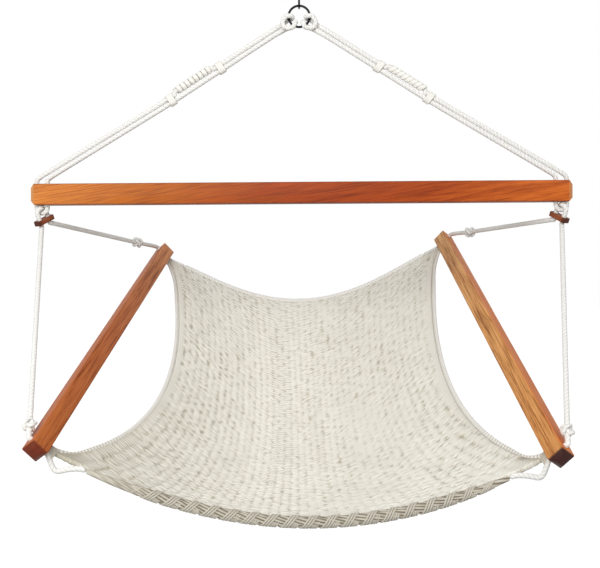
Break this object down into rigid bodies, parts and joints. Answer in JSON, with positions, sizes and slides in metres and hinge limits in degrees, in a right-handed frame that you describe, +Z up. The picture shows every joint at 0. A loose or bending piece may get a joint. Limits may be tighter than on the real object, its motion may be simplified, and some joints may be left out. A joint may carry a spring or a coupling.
{
  "type": "hanging hammock chair",
  "caption": "Hanging hammock chair: woven rope bed slung between wooden side bars under a wooden spreader beam, with rope bridles up to a steel ring and S hook.",
  "frame": {"origin": "inner top of the upper bow of the S hook, where the chair hangs", "axes": "+X along the beam towards the chair's right side as seen from the front, +Y towards the rear of the seat, +Z up"},
  "size_m": [1.372, 0.9544, 1.2752],
  "materials": {
    "steel": "polished dark steel",
    "rope": "twisted cotton and polyester rope",
    "weave": "soft woven rope",
    "beam_wood": "satin varnish",
    "bar_wood": "satin varnish",
    "slider_wood": "satin varnish"
  },
  "bodies": {
    "hook": {"hanging_hook": "steel"},
    "ring": {"hanging_ring": "steel"},
    "beam": {"top_beam": "beam_wood", "left_bridle_rope": "rope", "left_upper_bridle_knot": "rope", "left_lower_bridle_knot": "rope", "left_bridle_wrap": "rope", "right_bridle_rope": "rope", "right_upper_bridle_knot": "rope", "right_lower_bridle_knot": "rope", "right_bridle_wrap": "rope"},
    "seat": {"left_slider": "slider_wood", "left_seat_rope": "rope", "left_front_knot": "rope", "left_rear_knot": "rope", "left_side_bar": "bar_wood", "left_side_edge_rope": "rope", "right_slider": "slider_wood", "right_seat_rope": "rope", "right_front_knot": "rope", "right_rear_knot": "rope", "right_side_bar": "bar_wood", "right_side_edge_rope": "rope", "woven_bed": "weave", "front_rim": "weave", "rear_edge_rope": "rope"}
  },
  "joints": [
    {"name": "ring_swing", "type": "hinge", "parent": "hook", "child": "ring", "pos_m": [0, 0, -0.0516], "axis": [1, 0, 0], "range_deg": [-25, 25]},
    {"name": "beam_sway", "type": "hinge", "parent": "ring", "child": "beam", "pos_m": [0, 0, -0.0786], "axis": [0, 1, 0], "range_deg": [-15, 15]},
    {"name": "seat_tilt", "type": "hinge", "parent": "beam", "child": "seat", "pos_m": [0, 0, -0.5746], "axis": [1, 0, 0], "range_deg": [-15, 15]}
  ]
}
